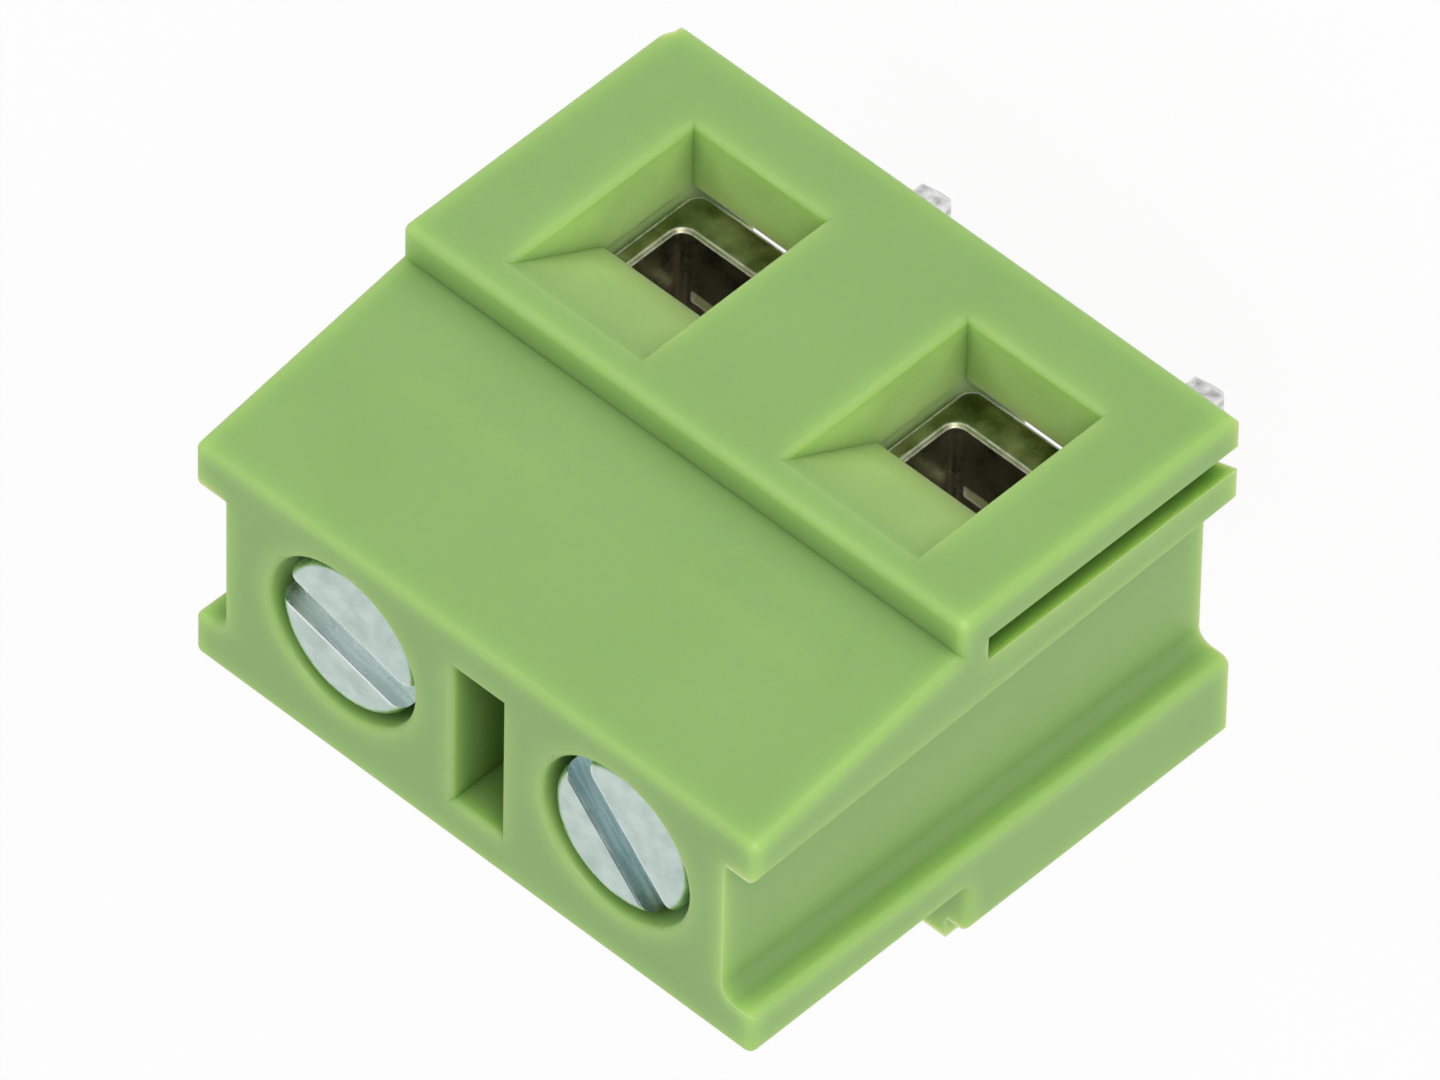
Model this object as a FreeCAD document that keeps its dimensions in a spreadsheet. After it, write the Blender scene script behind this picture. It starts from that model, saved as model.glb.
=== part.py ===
import FreeCAD, Part
import Sketcher
import os
import re

# Two-pole rising-cage terminal block for a printed circuit board, in millimetres.
# The board face of the housing is Z = 0 and the screw heads look up. The wire entries look along -Y.
# The origin lies between the two solder pins, in the plane of the board.

doc = FreeCAD.newDocument("terminal_block")
sheet = doc.addObject("Spreadsheet::Sheet", "sizes")

SIZES = [
    # overall housing, depths counted from the entry face
    ("pitch", 7.5),
    ("left_margin", 3.8),
    ("right_margin", 4.06),
    ("housing_height", 13.72),
    ("plate_height", 7.87),
    ("step_depth", 0.88),
    ("slope_depth", 1.85),
    ("top_back", 7.98),
    ("base_back", 9.88),
    ("shelf_height", 7.5),
    ("edge_round", 0.2),
    ("mouth_round", 0.15),
    ("base_relief_width", 0.58),
    ("base_relief_depth", 0.58),
    # recess of each end wall between its two flanges
    ("recess_depth", 0.82),
    ("front_flange_at_board", 2.45),
    ("front_flange_at_top", 2.9),
    ("rear_flange_at_board", 7.1),
    ("rear_flange_at_top", 6.8),
    ("recess_round", 0.35),
    # interlocking groove of one end, and tongue and lead-in of the other
    ("groove_front", 0.85),
    ("groove_back", 1.5),
    ("groove_root_front", 1.62),
    ("groove_root_back", 1.72),
    ("groove_depth", 0.6),
    ("groove_length", 7.15),
    ("tongue_clearance", 0.05),
    ("lead_in_width", 0.21),
    ("lead_in_start", 0.27),
    ("lead_in_end", 0.62),
    # wire entry funnel
    ("entry_width", 3.63),
    ("entry_floor", 1.84),
    ("entry_top", 7.18),
    ("window_top", 4.42),
    ("ramp_depth", 1.6),
    ("front_wall", 1.75),
    # core pocket between the screws
    ("core_width", 1.34),
    ("core_front", 2.95),
    ("core_back", 6.86),
    ("core_depth", 8.0),
    # clamp screw
    ("screw_setback", 4.65),
    ("thread_diameter", 2.4),
    ("head_diameter", 3.6),
    ("head_height", 1.9),
    ("head_below_face", 0.1),
    ("head_round", 0.3),
    ("head_clearance", 0.2),
    ("shank_clearance", 0.15),
    ("slot_width", 0.82),
    ("slot_depth", 0.8),
    ("tip_chamfer", 0.3),
    ("left_slot_angle", -47.5),
    ("right_slot_angle", -14.8),
    # rising cage, heights at rest
    ("cage_gap", 0.15),
    ("cage_clearance", 0.1),
    ("cage_length", 5.0),
    ("cage_inset", 0.065),
    ("cage_side", 0.47),
    ("cage_floor", 0.95),
    ("cage_bottom", 1.75),
    ("cage_roof", 2.0),
    ("cage_round", 0.4),
    ("cage_inner_round", 0.3),
    ("rim_chamfer", 0.07),
    ("cage_fall", 0.65),
    ("thread_clearance", 0.04),
    ("grip_width", 0.3),
    ("grip_depth", 0.15),
    ("grip_spacing", 0.9),
    # contact strip with its solder pin
    ("strip", 0.8),
    ("contact_clearance", 0.05),
    ("strip_inset", 0.5),
    ("strip_side_gap", 0.13),
    ("strip_above_window", 0.18),
    ("foot_lip", 0.2),
    ("bend_radius", 0.3),
    ("pin_setback", 5.05),
    ("pin_width", 0.8),
    ("pin_length", 3.68),
    ("pin_chamfer", 0.28),
]

for row, (alias, value) in enumerate(SIZES, start=1):
    sheet.set("A%d" % row, alias)
    sheet.set("B%d" % row, str(value))
    sheet.setAlias("B%d" % row, alias)
doc.recompute()

ALIASES = re.compile(r"\b(%s)\b" % "|".join(alias for alias, value in SIZES))


def bound(expression):
    """Expression on the sheet, from one written with the plain size names."""
    return ALIASES.sub(r"sizes.\1", expression)


def value_of(expression):
    return float(sheet.evalExpression(expression))


def new_body(name):
    body = doc.addObject("PartDesign::Body", name)
    body.Label = name
    return body


def plane_of(body, role):
    return next(f for f in body.Origin.OriginFeatures if f.Role == role)


def outline(body, name, plane, points, start):
    """Closed outline on one of the body's planes, each corner held by two sheet expressions."""
    sketch = body.newObject("Sketcher::SketchObject", name)
    sketch.AttachmentSupport = (plane_of(body, plane), [""])
    sketch.MapMode = "FlatFace"
    sketch.setExpression(".AttachmentOffset.Base.z", bound(start))
    corners = [FreeCAD.Vector(value_of(x), value_of(y), 0) for x, y in points]
    count = len(corners)
    for i in range(count):
        sketch.addGeometry(Part.LineSegment(corners[i], corners[(i + 1) % count]), False)
    for i in range(count):
        sketch.addConstraint(Sketcher.Constraint("Coincident", i, 2, (i + 1) % count, 1))
    for i, (x, y) in enumerate(points):
        for kind, expression, axis in (("DistanceX", x, -2), ("DistanceY", y, -1)):
            if expression == "0":
                sketch.addConstraint(Sketcher.Constraint("PointOnObject", i, 1, axis))
                continue
            number = sketch.addConstraint(
                Sketcher.Constraint(kind, -1, 1, i, 1, value_of(expression)))
            sketch.setExpression("Constraints[%d]" % number, bound(expression))
    return sketch


def prism(body, name, plane, points, start, length, cut=False, reverse=False):
    """Solid or cut that follows an outline from its start along the plane's normal."""
    sketch = outline(body, name + "_outline", plane, points, start)
    kind = "PartDesign::Pocket" if cut else "PartDesign::Pad"
    feature = body.newObject(kind, name)
    feature.Profile = sketch
    feature.setExpression("Length", bound(length))
    feature.Reversed = reverse != cut
    sketch.Visibility = False
    return feature


def bored(body, name, x, y, z, radius, height):
    """Round hole along Z that starts at the point given and rises by its height."""
    hole = body.newObject("PartDesign::SubtractiveCylinder", name)
    hole.setExpression("Radius", bound(radius))
    hole.setExpression("Height", bound(height))
    hole.setExpression(".Placement.Base.x", bound(x))
    hole.setExpression(".Placement.Base.y", bound(y))
    hole.setExpression(".Placement.Base.z", bound(z))
    return hole


def rectangle(x0, x1, y0, y1):
    return [(x0, y0), (x1, y0), (x1, y1), (x0, y1)]


def rounded(body, name, radius, wanted, kind="PartDesign::Fillet"):
    """Fillet or chamfer on those edges of the body so far that the wanted test picks."""
    doc.recompute()
    base = body.Tip
    names = ["Edge%d" % i for i, edge in enumerate(base.Shape.Edges, start=1) if wanted(edge)]
    feature = body.newObject(kind, name)
    feature.Base = (base, names)
    feature.setExpression("Size" if kind.endswith("Chamfer") else "Radius", bound(radius))
    return feature


TOLERANCE = 1e-4


def near(a, b):
    return abs(a - b) < TOLERANCE


def along(edge, axis):
    """True for a straight edge that runs along one axis."""
    if edge.Curve.TypeId != "Part::GeomLine":
        return False
    return near(abs(edge.tangentAt(edge.FirstParameter)[axis]), 1)


def place(body, x, y, angle=None):
    body.setExpression(".Placement.Base.x", bound(x))
    body.setExpression(".Placement.Base.y", bound(y))
    if angle:
        body.Placement.Rotation = FreeCAD.Rotation(FreeCAD.Vector(0, 0, 1), value_of(angle))
        body.setExpression(".Placement.Rotation.Angle", bound(angle))


POLES = (("left", "-pitch / 2"), ("right", "pitch / 2"))
LEFT_END = "(-pitch / 2 - left_margin)"
RIGHT_END = "(pitch / 2 + right_margin)"
LEFT_WEB = "(%s + recess_depth)" % LEFT_END
RIGHT_WEB = "(%s - recess_depth)" % RIGHT_END

# The strip's tongue lies just above the window and the cage travels between it and the foot.
STRIP_UNDER = "(window_top + strip_above_window)"
STRIP_TOP = "(window_top + strip_above_window + strip)"
FOOT_TOP = "(cage_bottom - cage_fall - cage_clearance)"
FOOT_UNDER = "(cage_bottom - cage_fall - cage_clearance - strip)"
CAGE_HALF = "(entry_width / 2 - cage_inset)"
CAGE_INNER_HALF = "(entry_width / 2 - cage_inset - cage_side)"
CAGE_FRONT = "(front_wall + cage_gap)"
CAGE_BACK = "(front_wall + cage_gap + cage_length)"
CAGE_FLOOR_TOP = "(cage_bottom + cage_floor)"
CAGE_ROOF_UNDER = "(window_top + strip_above_window + strip + cage_fall + cage_clearance)"
CAGE_TOP = "(%s + cage_roof)" % CAGE_ROOF_UNDER
CAGE_RISE = "(%s - %s - contact_clearance)" % (STRIP_UNDER, CAGE_FLOOR_TOP)
CAVITY_TOP = "(%s + %s + cage_clearance)" % (CAGE_TOP, CAGE_RISE)
LEG_FRONT = "(%s + cage_clearance)" % CAGE_BACK
LEG_BACK = "(%s + strip)" % LEG_FRONT
STRIP_HALF = "(%s - strip_side_gap)" % CAGE_INNER_HALF
PIN_FRONT = "(pin_setback - strip / 2)"
PIN_BACK = "(pin_setback + strip / 2)"
FOOT_HALF = "(%s + cage_clearance + foot_lip)" % CAGE_HALF
HEAD_TOP = "(housing_height - head_below_face)"
HEAD_UNDER = "(%s - head_height)" % HEAD_TOP


def make_housing():
    """Moulded housing, one piece, with y counted from the entry face."""
    body = new_body("housing")
    prism(body, "block", "YZ_Plane", [
        ("0", "0"), ("0", "plate_height"), ("step_depth", "plate_height"),
        ("slope_depth", "housing_height"), ("top_back", "housing_height"),
        ("top_back", "shelf_height"), ("base_back", "shelf_height"), ("base_back", "0"),
    ], LEFT_END, RIGHT_END + " - " + LEFT_END)
    recess = [
        ("front_flange_at_board", "0"), ("rear_flange_at_board", "0"),
        ("rear_flange_at_top", "housing_height"), ("front_flange_at_top", "housing_height"),
    ]
    relief = rectangle("base_back - base_relief_depth", "base_back", "0", "shelf_height")
    for side, end, turned in (("left", LEFT_END, False), ("right", RIGHT_END, True)):
        prism(body, side + "_recess", "YZ_Plane", recess, end, "recess_depth", True, turned)
        prism(body, side + "_relief", "YZ_Plane", relief, end, "base_relief_width", True, turned)
    prism(body, "core_pocket", "XY_Plane",
          rectangle("-core_width / 2", "core_width / 2", "core_front", "core_back"),
          "housing_height", "core_depth", True, True)
    for side, x in POLES:
        cut_pole(body, side, x)
    rounded(body, "recess_corners", "recess_round", is_recess_corner)
    rounded(body, "outer_edges", "edge_round", is_outer_edge)
    rounded(body, "mouth_edges", "mouth_round", is_mouth_edge)
    cut_groove(body)
    cut_lead_in(body)
    add_tongue(body)
    place(body, "0", "-pin_setback")
    return body


def is_recess_corner(edge):
    """Inner corner between an end web and its rear flange."""
    box = edge.BoundBox
    left, right = value_of(LEFT_WEB), value_of(RIGHT_WEB)
    on_web = near(box.XMin, box.XMax) and (near(box.XMin, left) or near(box.XMin, right))
    flange = min(value_of("rear_flange_at_board"), value_of("rear_flange_at_top"))
    return on_web and near(box.YMin, flange)


def is_outer_edge(edge):
    """Long outer edge of the entry plate, the slope, the screw face and the end flanges."""
    box = edge.BoundBox
    left, right = value_of(LEFT_END), value_of(RIGHT_END)
    at_end = near(box.XMin, box.XMax) and (near(box.XMin, left) or near(box.XMin, right))
    spans = near(box.XMin, left) and near(box.XMax, right)
    step_corner = spans and near(box.ZMin, value_of("plate_height")) and not near(box.YMax, 0)
    behind_on_board = near(box.ZMax, 0) and not near(box.YMax, 0)
    return (at_end or spans) and not step_corner and not behind_on_board


def is_mouth_edge(edge):
    """Edge of a wire funnel, a screw hole or the core pocket, where it opens to the outside."""
    box = edge.BoundBox
    between_webs = box.XMin > value_of(LEFT_WEB) and box.XMax < value_of(RIGHT_WEB)
    on_screw_face = near(box.ZMin, value_of("housing_height"))
    return between_webs and (near(box.YMax, 0) or on_screw_face)


def cut_pole(body, side, x):
    """Wire funnel, cage cavity, contact seat and screw hole of one pole."""
    prism(body, side + "_entry", "YZ_Plane", [
        ("0", "entry_floor"), ("front_wall", "entry_floor"), ("front_wall", "window_top"),
        ("ramp_depth", "window_top"), ("0", "entry_top"),
    ], x + " - entry_width / 2", "entry_width", True)
    cavity_half = "(%s + cage_clearance)" % CAGE_HALF
    prism(body, side + "_cavity", "XY_Plane",
          rectangle(x + " - " + cavity_half, x + " + " + cavity_half,
                    "front_wall", CAGE_BACK + " + cage_clearance"),
          "0", CAVITY_TOP, True)
    leg_half = "(%s + contact_clearance)" % STRIP_HALF
    prism(body, side + "_leg_seat", "XY_Plane",
          rectangle(x + " - " + leg_half, x + " + " + leg_half,
                    LEG_FRONT + " - cage_clearance", LEG_BACK + " + contact_clearance"),
          "0", STRIP_TOP + " + contact_clearance", True)
    foot_half = "(%s + contact_clearance)" % FOOT_HALF
    prism(body, side + "_foot_seat", "XY_Plane",
          rectangle(x + " - " + foot_half, x + " + " + foot_half,
                    PIN_FRONT + " - contact_clearance", LEG_BACK + " + contact_clearance"),
          "0", FOOT_TOP + " + contact_clearance", True)
    bored(body, side + "_shank_hole", x, "screw_setback", CAVITY_TOP,
          "thread_diameter / 2 + shank_clearance", "housing_height - " + CAVITY_TOP)
    bored(body, side + "_head_hole", x, "screw_setback", HEAD_UNDER + " - contact_clearance",
          "head_diameter / 2 + head_clearance",
          "head_height + head_below_face + contact_clearance")


def cut_groove(body):
    """Tapered groove under the entry plate that takes the next block's tongue."""
    prism(body, "groove", "XY_Plane", [
        (LEFT_END, "groove_front"), (LEFT_END + " + groove_depth", "groove_root_front"),
        (LEFT_END + " + groove_depth", "groove_root_back"), (LEFT_END, "groove_back"),
    ], "0", "groove_length", True)


def cut_lead_in(body):
    """Slanted cut on the board corner of the tongue's flange, which guides it into the groove."""
    prism(body, "lead_in", "XZ_Plane", [
        (RIGHT_END + " - lead_in_width", "0"), (RIGHT_END, "0"),
        (RIGHT_END, "lead_in_end"), (RIGHT_END + " - lead_in_width", "lead_in_start"),
    ], "0", "front_flange_at_top", True, True)


def add_tongue(body):
    """Tongue above the lead-in, thinner and shorter than the groove by its clearance."""
    prism(body, "tongue", "XY_Plane", [
        (RIGHT_END + " - edge_round", "groove_front + tongue_clearance"),
        (RIGHT_END, "groove_front + tongue_clearance"),
        (RIGHT_END + " + groove_depth - tongue_clearance", "groove_root_front + tongue_clearance / 2"),
        (RIGHT_END + " + groove_depth - tongue_clearance", "groove_root_back - tongue_clearance / 2"),
        (RIGHT_END, "groove_back - tongue_clearance"),
        (RIGHT_END + " - edge_round", "groove_back - tongue_clearance"),
    ], "lead_in_end", "groove_length - tongue_clearance - lead_in_end")


def make_cage(side, x):
    """Rising cage, a thick plated sleeve open to the wire, with the thread in its roof."""
    body = new_body("clamp_cage_" + side)
    prism(body, "sleeve_" + side, "XZ_Plane",
          rectangle("-" + CAGE_HALF, CAGE_HALF, "cage_bottom", CAGE_TOP),
          "-" + CAGE_FRONT, "cage_length", False, True)
    prism(body, "wire_space_" + side, "XZ_Plane",
          rectangle("-" + CAGE_INNER_HALF, CAGE_INNER_HALF, CAGE_FLOOR_TOP, CAGE_ROOF_UNDER),
          "-" + CAGE_FRONT, "cage_length", True, True)
    half = value_of(CAGE_HALF)
    rounded(body, "outer_corners_" + side, "cage_round",
            lambda edge: along(edge, 1) and near(abs(edge.BoundBox.XMin), half))
    inner = value_of(CAGE_INNER_HALF)
    rounded(body, "inner_corners_" + side, "cage_inner_round",
            lambda edge: along(edge, 1) and near(abs(edge.BoundBox.XMin), inner))
    front = value_of(CAGE_FRONT)
    rounded(body, "rim_" + side, "rim_chamfer",
            lambda edge: near(edge.BoundBox.YMin, front) and near(edge.BoundBox.YMax, front),
            "PartDesign::Chamfer")
    bored(body, "thread_" + side, "0", "screw_setback", CAGE_ROOF_UNDER,
          "thread_diameter / 2 + thread_clearance", "cage_roof")
    for number in (-1, 0, 1):
        middle = "(screw_setback + %d * grip_spacing)" % number
        prism(body, "grip_%s_%d" % (side, number + 2), "YZ_Plane", [
            (middle + " - grip_width / 2", CAGE_FLOOR_TOP),
            (middle, CAGE_FLOOR_TOP + " - grip_depth"),
            (middle + " + grip_width / 2", CAGE_FLOOR_TOP),
        ], "cage_inner_round - " + CAGE_INNER_HALF,
              "2 * (%s - cage_inner_round)" % CAGE_INNER_HALF, True)
    place(body, x, "-pin_setback")
    return body


def make_contact(side, x):
    """Bent contact strip: tongue through the cage, leg behind it, foot and solder pin below."""
    body = new_body("solder_contact_" + side)
    tongue_tip = "(%s + strip_inset)" % CAGE_FRONT
    prism(body, "strip_" + side, "YZ_Plane", [
        (tongue_tip, STRIP_UNDER), (tongue_tip, STRIP_TOP), (LEG_BACK, STRIP_TOP),
        (LEG_BACK, FOOT_UNDER), (PIN_FRONT, FOOT_UNDER), (PIN_FRONT, FOOT_TOP),
        (LEG_FRONT, FOOT_TOP), (LEG_FRONT, STRIP_UNDER),
    ], "-" + STRIP_HALF, "2 * " + STRIP_HALF)
    prism(body, "foot_" + side, "XY_Plane",
          rectangle("-" + FOOT_HALF, FOOT_HALF, PIN_FRONT, LEG_BACK), FOOT_UNDER, "strip")
    prism(body, "pin_" + side, "XY_Plane",
          rectangle("-pin_width / 2", "pin_width / 2", PIN_FRONT, PIN_BACK),
          FOOT_UNDER, "pin_length + " + FOOT_UNDER, False, True)
    tip = value_of("-pin_length")
    rounded(body, "pin_tip_" + side, "pin_chamfer",
            lambda edge: near(edge.BoundBox.ZMin, tip) and near(edge.BoundBox.ZMax, tip),
            "PartDesign::Chamfer")
    back, top, front = value_of(LEG_BACK), value_of(STRIP_TOP), value_of(tongue_tip)
    rounded(body, "bend_" + side, "bend_radius",
            lambda edge: along(edge, 0) and near(edge.BoundBox.ZMin, top)
            and (near(edge.BoundBox.YMin, back) or near(edge.BoundBox.YMin, front)))
    place(body, x, "-pin_setback")
    return body


def make_screw(side, x):
    """Slotted clamp screw, modelled about its own axis."""
    body = new_body("clamp_screw_" + side)
    tip = "(%s + contact_clearance)" % STRIP_TOP
    profile = outline(body, "screw_profile_" + side, "XZ_Plane", [
        ("0", tip), ("thread_diameter / 2 - tip_chamfer", tip),
        ("thread_diameter / 2", tip + " + tip_chamfer"), ("thread_diameter / 2", HEAD_UNDER),
        ("head_diameter / 2", HEAD_UNDER), ("head_diameter / 2", HEAD_TOP), ("0", HEAD_TOP),
    ], "0")
    turned = body.newObject("PartDesign::Revolution", "turned_" + side)
    turned.Profile = profile
    turned.ReferenceAxis = (profile, ["V_Axis"])
    turned.Angle = 360
    prism(body, "slot_" + side, "XY_Plane",
          rectangle("-head_diameter", "head_diameter", "-slot_width / 2", "slot_width / 2"),
          HEAD_TOP, "slot_depth", True, True)
    top = value_of(HEAD_TOP)
    rounded(body, "head_edge_" + side, "head_round",
            lambda edge: near(edge.BoundBox.ZMin, top) and near(edge.BoundBox.ZMax, top)
            and edge.Curve.TypeId == "Part::GeomCircle")
    place(body, x, "screw_setback - pin_setback", side + "_slot_angle")
    return body


parts = [make_housing()]
for side, x in POLES:
    parts.append(make_cage(side, x))
    parts.append(make_contact(side, x))
    parts.append(make_screw(side, x))
doc.recompute()

for item in doc.Objects:
    if "Invalid" in item.State or "Error" in item.State:
        raise RuntimeError("%s did not build: %s" % (item.Name, item.State))
for body in parts:
    if body.Shape.isNull() or not body.Shape.isValid() or len(body.Shape.Solids) != 1:
        raise RuntimeError("%s is not one valid solid" % body.Label)

os.makedirs("parts", exist_ok=True)
for body in parts:
    body.Shape.exportStep(os.path.join("parts", body.Label + ".step"))
    print("%s: %.2f cubic mm" % (body.Label, body.Shape.Volume))
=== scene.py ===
import math

import bpy
from mathutils import Matrix, Vector


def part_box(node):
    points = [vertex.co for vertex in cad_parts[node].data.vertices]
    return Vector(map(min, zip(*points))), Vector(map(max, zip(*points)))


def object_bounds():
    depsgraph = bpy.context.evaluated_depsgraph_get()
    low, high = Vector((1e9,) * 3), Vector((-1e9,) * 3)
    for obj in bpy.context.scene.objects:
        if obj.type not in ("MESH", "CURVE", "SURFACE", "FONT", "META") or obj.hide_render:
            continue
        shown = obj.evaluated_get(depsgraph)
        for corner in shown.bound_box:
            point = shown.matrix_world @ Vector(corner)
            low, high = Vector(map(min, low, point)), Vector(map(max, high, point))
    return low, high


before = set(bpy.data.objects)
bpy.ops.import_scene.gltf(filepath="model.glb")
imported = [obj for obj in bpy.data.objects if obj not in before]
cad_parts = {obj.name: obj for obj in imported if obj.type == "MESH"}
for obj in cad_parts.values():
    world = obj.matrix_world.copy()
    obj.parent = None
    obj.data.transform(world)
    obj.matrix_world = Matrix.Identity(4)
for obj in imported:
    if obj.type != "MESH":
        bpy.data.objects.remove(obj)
cad_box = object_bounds()

# Housing: one moulding in light green polyamide, with satin spark-eroded faces.
# The plastic lets a little light through. Its lips carry a painted highlight, the walls of its wire funnels
# are painted lighter, a painted light, and its inner corners and deep places are painted darker, a painted
# shade.
MM = 0.001
GREEN = (0.268, 0.440, 0.140)
GREEN_PALE = (0.290, 0.465, 0.158)
GREEN_LIP_HIGHLIGHT = (0.350, 0.540, 0.165)
GREEN_FUNNEL_LIGHT = (0.600, 0.820, 0.310)
GREEN_CREASE_SHADE = (0.130, 0.270, 0.035)
SCATTER_DEPTH = 1.3
SCATTER_SPREAD = (0.9, 1.0, 0.4)
FUNNEL_SPAN = {"X": (-6.2, 6.2), "Y": (-5.2, -1.5), "Z": (1.2, 7.7)}
FUNNEL_FADE = 0.5
GREY = (0.5, 0.5, 0.5, 1.0)
OPENNESS_RAYS = 4
EDGE_OPENNESS = (0.97, 0.55)
CREASE_OPENNESS = (0.9, 0.3)
DEEP_OPENNESS = (0.4, 0.1)
BREAK_LEVELS = (0.58, 0.42)


def put(tree, kind, inputs=None, **settings):
    """Adds a node to a tree. Each input takes a number, a colour or another node's output."""
    node = tree.nodes.new(kind)
    for name, value in settings.items():
        setattr(node, name, value)
    for title, source in (inputs or {}).items():
        if isinstance(source, bpy.types.NodeSocket):
            tree.links.new(source, node.inputs[title])
        else:
            node.inputs[title].default_value = source
    return node


def worked_out(tree, operation, first, second=0.0, third=0.0, clamp=True):
    """Output of a math node, kept between 0 and 1 unless clamp is off."""
    return put(tree, "ShaderNodeMath", {0: first, 1: second, 2: third},
               operation=operation, use_clamp=clamp).outputs[0]


def ramp(tree, value, start, end):
    """0 at the start value and 1 at the end value, level beyond both."""
    return put(tree, "ShaderNodeMapRange", {"Value": value, "From Min": start, "From Max": end}).outputs[0]


def mixed(tree, share, first, second, data_type="RGBA"):
    """Output of a mix: the first value at a share of 0, the second at 1."""
    return put(tree, "ShaderNodeMix", {"Factor": share, "A": first, "B": second},
               data_type=data_type).outputs["Result"]


def noise(tree, size, detail):
    """Soft noise whose grains are about this many millimetres across."""
    place = put(tree, "ShaderNodeTexCoord").outputs["Object"]
    per_metre = worked_out(tree, "DIVIDE", 1 / MM, size, clamp=False)
    texture = put(tree, "ShaderNodeTexNoise", {"Vector": place, "Scale": per_metre, "Detail": detail})
    return texture.outputs["Fac"]


def node_group(name, inputs, outputs):
    """Empty shader node group with named inputs and outputs, and its two end nodes."""
    group = bpy.data.node_groups.new(name, "ShaderNodeTree")
    for title, value in inputs.items():
        kind = "NodeSocketFloat" if isinstance(value, float) else "NodeSocketColor"
        socket = group.interface.new_socket(name=title, in_out="INPUT", socket_type=kind)
        socket.default_value = value
    for title, kind in outputs.items():
        group.interface.new_socket(name=title, in_out="OUTPUT", socket_type=kind)
    return group, put(group, "NodeGroupInput").outputs, put(group, "NodeGroupOutput").inputs


blotched, given, out = node_group(
    "blotched_finish",
    {"Colour": GREY, "Other Colour": GREY, "Blotch Size": 2.0, "Contrast": 2.0,
     "Roughness": 0.5, "Roughness Drift": 0.1, "Grain Size": 0.05},
    {"Colour": "NodeSocketColor", "Roughness": "NodeSocketFloat", "Grain": "NodeSocketFloat"})
blotches = worked_out(blotched, "SUBTRACT", noise(blotched, given["Blotch Size"], 3.0), 0.5, clamp=False)
share = worked_out(blotched, "MULTIPLY_ADD", blotches, given["Contrast"], 0.5)
roughness = worked_out(blotched, "MULTIPLY_ADD", share, given["Roughness Drift"], given["Roughness"])
blotched.links.new(mixed(blotched, share, given["Colour"], given["Other Colour"]), out["Colour"])
blotched.links.new(roughness, out["Roughness"])
blotched.links.new(noise(blotched, given["Grain Size"], 2.0), out["Grain"])

# Paints light and shade by how open the surface is: a painted highlight on open edges, broken in places,
# painted shading in hollows, and painted shade in creases and deep places.
edged, given, out = node_group(
    "painted_edge_and_hollow_shading",
    {"Colour": GREY, "Edge Highlight Colour": GREY, "Edge Reach": 0.5, "Edge Share": 1.0, "Edge Breaks": 0.0,
     "Break Size": 0.2, "Hollow Shading Colour": GREY, "Hollow Reach": 3.0, "Hollow Start": 0.9,
     "Hollow Full": 0.5, "Hollow Share": 1.0, "Crease Shade Colour": GREY, "Crease Reach": 0.6,
     "Crease Share": 0.0, "Deep Share": 0.0},
    {"Colour": "NodeSocketColor", "Edge": "NodeSocketFloat"})


def openness(reach, inside=False):
    """1 where no face of the same piece is within this reach in mm, 0 where they close in all round.

    It looks out from the surface, or with inside into the piece, where edges are the open places.
    """
    metres = worked_out(edged, "MULTIPLY", reach, MM, clamp=False)
    return put(edged, "ShaderNodeAmbientOcclusion", {"Distance": metres},
               samples=OPENNESS_RAYS, inside=inside, only_local=True).outputs["AO"]


breaks = ramp(edged, noise(edged, given["Break Size"], 2.0), *BREAK_LEVELS)
breaks = worked_out(edged, "MULTIPLY", breaks, given["Edge Breaks"])
edge = ramp(edged, openness(given["Edge Reach"], inside=True), *EDGE_OPENNESS)
edge = worked_out(edged, "MULTIPLY", edge, worked_out(edged, "SUBTRACT", 1.0, breaks))
edge = worked_out(edged, "MULTIPLY", edge, given["Edge Share"])
room = openness(given["Hollow Reach"])
hollow = ramp(edged, room, given["Hollow Start"], given["Hollow Full"])
hollow = worked_out(edged, "MULTIPLY", hollow, given["Hollow Share"])
crease = ramp(edged, openness(given["Crease Reach"]), *CREASE_OPENNESS)
crease = worked_out(edged, "MULTIPLY", crease, given["Crease Share"])
deep = worked_out(edged, "MULTIPLY", ramp(edged, room, *DEEP_OPENNESS), given["Deep Share"])
colour = mixed(edged, hollow, given["Colour"], given["Hollow Shading Colour"])
colour = mixed(edged, worked_out(edged, "MAXIMUM", crease, deep), colour, given["Crease Shade Colour"])
edged.links.new(mixed(edged, edge, colour, given["Edge Highlight Colour"]), out["Colour"])
edged.links.new(edge, out["Edge"])


def fill_in(node, values):
    """Sets the inputs of a group node by name. Colours come as three numbers, sizes in mm."""
    for title, value in values.items():
        node.inputs[title].default_value = (*value, 1.0) if isinstance(value, tuple) else value


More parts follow.
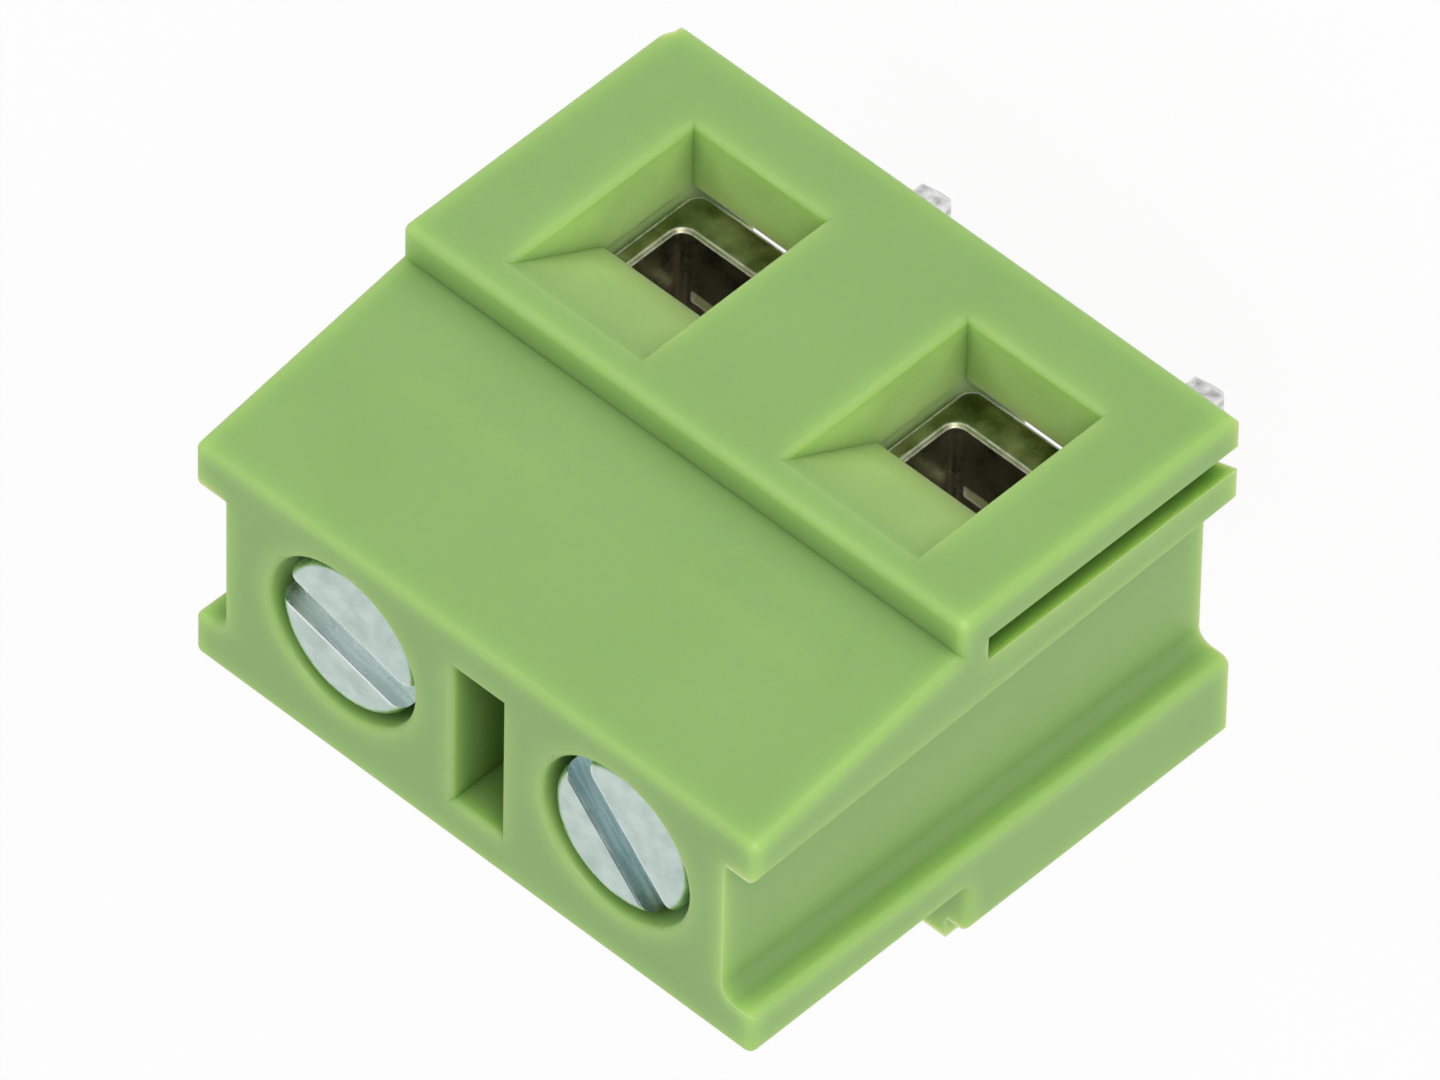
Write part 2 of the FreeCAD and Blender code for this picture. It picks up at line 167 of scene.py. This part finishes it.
def start_material(name, metallic, finish, rims, edge_roughness, grain_height, edge_grain=0.0):
    """Material with blotches, a fine grain, a painted highlight on its edges, and painted shading in its
    hollows and creases.

    finish and rims hold the values of the two groups. metallic is for faces and for edges.
    grain_height is in mm, and edge_grain is how many times higher it stands on edges.
    """
    material = bpy.data.materials.new(name)
    material.use_nodes = True
    tree = material.node_tree
    skin = put(tree, "ShaderNodeGroup", node_tree=blotched, name="skin")
    edges = put(tree, "ShaderNodeGroup", {"Colour": skin.outputs["Colour"]}, node_tree=edged, name="edges")
    fill_in(skin, finish)
    fill_in(edges, rims)
    on_edge = edges.outputs["Edge"]
    height = worked_out(tree, "MULTIPLY_ADD", on_edge, edge_grain, 1.0, clamp=False)
    height = worked_out(tree, "MULTIPLY", skin.outputs["Grain"], height, clamp=False)
    bump = put(tree, "ShaderNodeBump", {"Height": height, "Distance": grain_height * MM, "Strength": 1.0})
    roughness = mixed(tree, on_edge, skin.outputs["Roughness"], edge_roughness, "FLOAT")
    shader = tree.nodes["Principled BSDF"]
    tree.links.new(edges.outputs["Colour"], shader.inputs["Base Color"])
    tree.links.new(roughness, shader.inputs["Roughness"])
    tree.links.new(bump.outputs["Normal"], shader.inputs["Normal"])
    shader.inputs["Metallic"].default_value = metallic[0]
    if metallic[0] != metallic[1]:
        tree.links.new(mixed(tree, on_edge, *metallic, "FLOAT"), shader.inputs["Metallic"])
    return material


def dress(node, material):
    """Puts one material on every slot of a CAD node."""
    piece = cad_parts[node]
    if not piece.data.materials:
        piece.data.materials.append(material)
    for slot in piece.material_slots:
        slot.material = material


plastic = start_material(
    "green_polyamide", metallic=(0.0, 0.0), edge_roughness=0.40, grain_height=0.003,
    finish={"Colour": GREEN, "Other Colour": GREEN_PALE, "Blotch Size": 3.0, "Contrast": 2.0,
            "Roughness": 0.42, "Roughness Drift": 0.08, "Grain Size": 0.06},
    rims={"Edge Highlight Colour": GREEN_LIP_HIGHLIGHT, "Edge Reach": 0.6, "Edge Share": 0.5, "Edge Breaks": 0.0,
          "Hollow Shading Colour": GREEN_FUNNEL_LIGHT, "Hollow Reach": 5.0, "Hollow Start": 0.9, "Hollow Full": 0.5,
          "Crease Shade Colour": GREEN_CREASE_SHADE, "Crease Reach": 0.9, "Crease Share": 0.9, "Deep Share": 1.0})
# The painted light in hollows is kept to the span of the wire funnels, fading at its ends.
tree = plastic.node_tree
place = put(tree, "ShaderNodeTexCoord").outputs["Object"]
along = put(tree, "ShaderNodeSeparateXYZ", {"Vector": place}).outputs
funnel_light_span = 1.0
for axis, (first, last) in FUNNEL_SPAN.items():
    past_first = ramp(tree, along[axis], first * MM, (first + FUNNEL_FADE) * MM)
    before_last = ramp(tree, along[axis], last * MM, (last - FUNNEL_FADE) * MM)
    in_span = worked_out(tree, "MULTIPLY", past_first, before_last)
    funnel_light_span = worked_out(tree, "MULTIPLY", in_span, funnel_light_span)
tree.links.new(funnel_light_span, tree.nodes["edges"].inputs["Hollow Share"])
shader = tree.nodes["Principled BSDF"]
shader.inputs["Subsurface Weight"].default_value = 1.0
shader.inputs["Subsurface Scale"].default_value = SCATTER_DEPTH * MM
shader.inputs["Subsurface Radius"].default_value = SCATTER_SPREAD
dress("housing", plastic)

# Clamp screws: cold-headed steel with a blue passivated zinc plate.
# The slot is sawn, so it carries streaks along it, and one lip carries a painted line: painted shadow on
# the left screw, painted glint on the right.
ZINC = (0.55, 0.68, 0.63)
ZINC_PALE = (0.71, 0.84, 0.78)
ZINC_EDGE_GLINT = (0.94, 0.98, 0.96)
ZINC_HOLLOW_SHADE = (0.50, 0.62, 0.58)
# The slot colours differ between the two screws as painted light: the right slot is painted lighter.
SAWN_LIT = {"left": (0.57, 0.69, 0.70), "right": (0.76, 0.88, 0.86)}
SAWN_PALE_LIT = {"left": (0.90, 0.98, 0.98), "right": (1.0, 1.0, 1.0)}
LIP_SHADOW_AND_GLINT = {"left": (0.16, 0.21, 0.21), "right": (1.0, 1.0, 1.0)}
LIP_LINE_WIDTH = 0.07
LIP_LINE_LEVELS = (0.42, 0.5)
SLOT_ANGLE = {"left": -47.5, "right": -14.8}
SLOT_HALF = 0.415
LIP_DEPTH = 0.03
STREAK_LENGTH = 1.2
STREAK_WIDTH = 0.09
STREAK_LEVELS = (0.35, 0.65)

sawn, given, out = node_group(
    "sawn_slot",
    {"Colour": GREY, "Sawn Colour": GREY, "Other Sawn Colour": GREY, "Lip Line Colour": GREY,
     "Angle": 0.0, "Axis East": 0.0, "Axis North": 0.0, "Lip Height": 0.0},
    {"Colour": "NodeSocketColor"})
place = put(sawn, "ShaderNodeTexCoord").outputs["Object"]
axis = put(sawn, "ShaderNodeCombineXYZ", {"X": given["Axis East"], "Y": given["Axis North"]}).outputs[0]
from_axis = put(sawn, "ShaderNodeVectorMath", {0: place, 1: axis}, operation="SUBTRACT").outputs[0]
turned = put(sawn, "ShaderNodeVectorRotate", {"Vector": from_axis, "Angle": given["Angle"]},
             rotation_type="Z_AXIS").outputs[0]
along = put(sawn, "ShaderNodeSeparateXYZ", {"Vector": turned}).outputs
stretch = (1 / STREAK_LENGTH / MM, 1 / STREAK_WIDTH / MM, 1 / STREAK_WIDTH / MM)
stretched = put(sawn, "ShaderNodeVectorMath", {0: turned, 1: stretch}, operation="MULTIPLY").outputs[0]
streaks = put(sawn, "ShaderNodeTexNoise", {"Vector": stretched, "Scale": 1.0, "Detail": 2.0}).outputs["Fac"]
sawn_colour = mixed(sawn, ramp(sawn, streaks, *STREAK_LEVELS), given["Sawn Colour"],
                    given["Other Sawn Colour"])
across = worked_out(sawn, "ABSOLUTE", along["Y"], clamp=False)
in_slot = worked_out(sawn, "MULTIPLY", worked_out(sawn, "LESS_THAN", across, SLOT_HALF * MM),
                     worked_out(sawn, "LESS_THAN", along["Z"], given["Lip Height"]))
# Painted line along one lip, broken by the streaks: painted shadow on the left screw, painted glint on the
# right.
on_lip_line = worked_out(sawn, "MULTIPLY", worked_out(sawn, "GREATER_THAN", along["Y"], SLOT_HALF * MM),
                     worked_out(sawn, "LESS_THAN", along["Y"], (SLOT_HALF + LIP_LINE_WIDTH) * MM))
on_lip_line = worked_out(sawn, "MULTIPLY", on_lip_line, ramp(sawn, streaks, *LIP_LINE_LEVELS))
face_colour = mixed(sawn, on_lip_line, given["Colour"], given["Lip Line Colour"])
sawn.links.new(mixed(sawn, in_slot, face_colour, sawn_colour), out["Colour"])

for side, angle in SLOT_ANGLE.items():
    node = "clamp_screw_" + side
    lowest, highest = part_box(node)
    middle = (lowest + highest) / 2
    # Each screw's edges carry a painted glint, broken in places, and its hollows a little painted shade.
    zinc = start_material(
        "blue_zinc_" + side, metallic=(1.0, 1.0), edge_roughness=0.25, grain_height=0.003, edge_grain=2.0,
        finish={"Colour": ZINC, "Other Colour": ZINC_PALE, "Blotch Size": 0.45, "Contrast": 3.0,
                "Roughness": 0.22, "Roughness Drift": 0.15, "Grain Size": 0.10},
        rims={"Edge Highlight Colour": ZINC_EDGE_GLINT, "Edge Reach": 0.09, "Edge Share": 0.9, "Edge Breaks": 0.5,
              "Break Size": 0.2, "Hollow Shading Colour": ZINC_HOLLOW_SHADE, "Hollow Reach": 0.8,
              "Hollow Start": 0.8, "Hollow Full": 0.4, "Hollow Share": 0.3})
    tree = zinc.node_tree
    slot = put(tree, "ShaderNodeGroup", {"Colour": tree.nodes["edges"].outputs["Colour"]}, node_tree=sawn)
    fill_in(slot, {"Sawn Colour": SAWN_LIT[side], "Other Sawn Colour": SAWN_PALE_LIT[side],
                   "Lip Line Colour": LIP_SHADOW_AND_GLINT[side], "Angle": math.radians(-angle), "Axis East": middle.x,
                   "Axis North": middle.y, "Lip Height": highest.z - LIP_DEPTH * MM})
    tree.links.new(slot.outputs["Colour"], tree.nodes["Principled BSDF"].inputs["Base Color"])
    dress(node, zinc)

# Rising cages: thick brass sleeves with a nickel plate, whose faces are painted dark, a painted shade.
# Their rims carry a painted glint, broken in places, and inside them the plate is painted lighter, a
# painted light.
NICKEL_SHADED = (0.105, 0.105, 0.045)
NICKEL_PALE_SHADED = (0.36, 0.35, 0.22)
NICKEL_RIM_GLINT = (1.0, 0.98, 0.88)
NICKEL_INSIDE_LIGHT = (0.80, 0.74, 0.60)
nickel = start_material(
    "dark_shaded_nickel", metallic=(1.0, 0.1), edge_roughness=0.30, grain_height=0.002, edge_grain=6.0,
    finish={"Colour": NICKEL_SHADED, "Other Colour": NICKEL_PALE_SHADED, "Blotch Size": 0.6, "Contrast": 2.5,
            "Roughness": 0.22, "Roughness Drift": 0.16, "Grain Size": 0.07},
    rims={"Edge Highlight Colour": NICKEL_RIM_GLINT, "Edge Reach": 0.06, "Edge Share": 2.0, "Edge Breaks": 0.35,
          "Break Size": 0.16, "Hollow Shading Colour": NICKEL_INSIDE_LIGHT, "Hollow Reach": 3.0,
          "Hollow Start": 0.85, "Hollow Full": 0.45, "Hollow Share": 1.0})
for side in ("left", "right"):
    dress("clamp_cage_" + side, nickel)

# Solder contacts: bent brass strip with a bright tin plate.
# Their legs run down behind the cages and stand out below as the solder pins.
TIN = (0.40, 0.40, 0.39)
TIN_PALE = (0.84, 0.84, 0.82)
TIN_EDGE_GLINT = (0.90, 0.90, 0.88)
TIN_HOLLOW_SHADING = (0.60, 0.60, 0.57)
# The tin's edges carry a painted glint, broken in places, and its hollows painted shading.
tin = start_material(
    "bright_tin", metallic=(1.0, 1.0), edge_roughness=0.25, grain_height=0.010, edge_grain=1.0,
    finish={"Colour": TIN, "Other Colour": TIN_PALE, "Blotch Size": 0.28, "Contrast": 3.2,
            "Roughness": 0.12, "Roughness Drift": 0.20, "Grain Size": 0.14},
    rims={"Edge Highlight Colour": TIN_EDGE_GLINT, "Edge Reach": 0.10, "Edge Share": 0.7, "Edge Breaks": 0.3,
          "Break Size": 0.2, "Hollow Shading Colour": TIN_HOLLOW_SHADING, "Hollow Reach": 1.0,
          "Hollow Start": 0.8, "Hollow Full": 0.4, "Hollow Share": 0.5})
for side in ("left", "right"):
    dress("solder_contact_" + side, tin)

# Floor: a plain white sheet under the pins' tips.
# The camera, and anything that mirrors it, sees it nearly white, with the block's soft shadow on it.
FLOOR_REACH = 1.2
FLOOR_WHITE = 0.9
FLOOR_GLOW = 0.93
low = cad_box[0][2]
mesh = bpy.data.meshes.new("floor")
corners = [(-1, -1), (1, -1), (1, 1), (-1, 1)]
mesh.from_pydata([(x * FLOOR_REACH, y * FLOOR_REACH, low) for x, y in corners], [], [(0, 1, 2, 3)])
floor = bpy.data.objects.new("floor", mesh)
bpy.context.collection.objects.link(floor)
paper = bpy.data.materials.new("paper")
paper.use_nodes = True
tree = paper.node_tree
tree.nodes.remove(tree.nodes["Principled BSDF"])
sheet = put(tree, "ShaderNodeBsdfDiffuse", {"Color": (FLOOR_WHITE, FLOOR_WHITE, FLOOR_WHITE, 1)})
glow = put(tree, "ShaderNodeEmission", {"Strength": 1.0})
rays = put(tree, "ShaderNodeLightPath").outputs
looked_at = worked_out(tree, "ADD", rays["Is Camera Ray"], rays["Is Glossy Ray"])
looked_at = worked_out(tree, "ADD", looked_at, rays["Is Transmission Ray"])
glowing = worked_out(tree, "MULTIPLY", looked_at, FLOOR_GLOW)
seen = put(tree, "ShaderNodeMixShader", {"Fac": glowing, 1: sheet.outputs[0], 2: glow.outputs[0]})
tree.links.new(seen.outputs[0], tree.nodes["Material Output"].inputs["Surface"])
mesh.materials.append(paper)

# Light: a white tent, even and soft from all sides, with one oblong soft box on the wire side.
# The two together show an outer face about as light as its colour is written.
TENT_LEVEL = 0.77
BOX_PLACE = Vector((-0.19, -0.32, 0.13))
BOX_AIM = Vector((0, 0, 0.005))
BOX_WIDTH = 0.3
BOX_HEIGHT = 0.2
BOX_POWER = 0.70
BOX_COLOUR = (1, 0.99, 0.97)
world = bpy.data.worlds.new("tent")
bpy.context.scene.world = world
world.use_nodes = True
tent = world.node_tree.nodes["Background"]
tent.inputs["Color"].default_value = (1, 1, 1, 1)
tent.inputs["Strength"].default_value = TENT_LEVEL
light = bpy.data.lights.new("wire_side_box", "AREA")
light.shape = "RECTANGLE"
light.size = BOX_WIDTH
light.size_y = BOX_HEIGHT
light.energy = BOX_POWER
light.color = BOX_COLOUR
soft_box = bpy.data.objects.new("wire_side_box", light)
bpy.context.collection.objects.link(soft_box)
soft_box.location = BOX_PLACE
soft_box.rotation_euler = (BOX_AIM - BOX_PLACE).to_track_quat("-Z", "Y").to_euler()

# Camera: a long lens on the wire side, above and to the left of the block.
# It is turned as the photo is, so the block seems to lie on its back edge.
CAMERA_PLACE = Vector((-0.22672, -0.36721, 0.2503))
TOWARDS_CAMERA = Vector((-0.4582, -0.7402, 0.4921)).normalized()
PHOTO_UP = Vector((0.5196, -0.6722, -0.5273))
LENS_LENGTH = 625
FILM_WIDTH = 36
lens = bpy.data.cameras.new("photo_lens")
lens.lens = LENS_LENGTH
lens.sensor_width = FILM_WIDTH
camera = bpy.data.objects.new("photo_lens", lens)
bpy.context.collection.objects.link(camera)
to_right = PHOTO_UP.cross(TOWARDS_CAMERA).normalized()
upright = TOWARDS_CAMERA.cross(to_right)
turn = Matrix((to_right, upright, TOWARDS_CAMERA)).transposed().to_4x4()
camera.matrix_world = Matrix.Translation(CAMERA_PLACE) @ turn
bpy.context.scene.camera = camera
bpy.context.scene.view_settings.view_transform = "Standard"
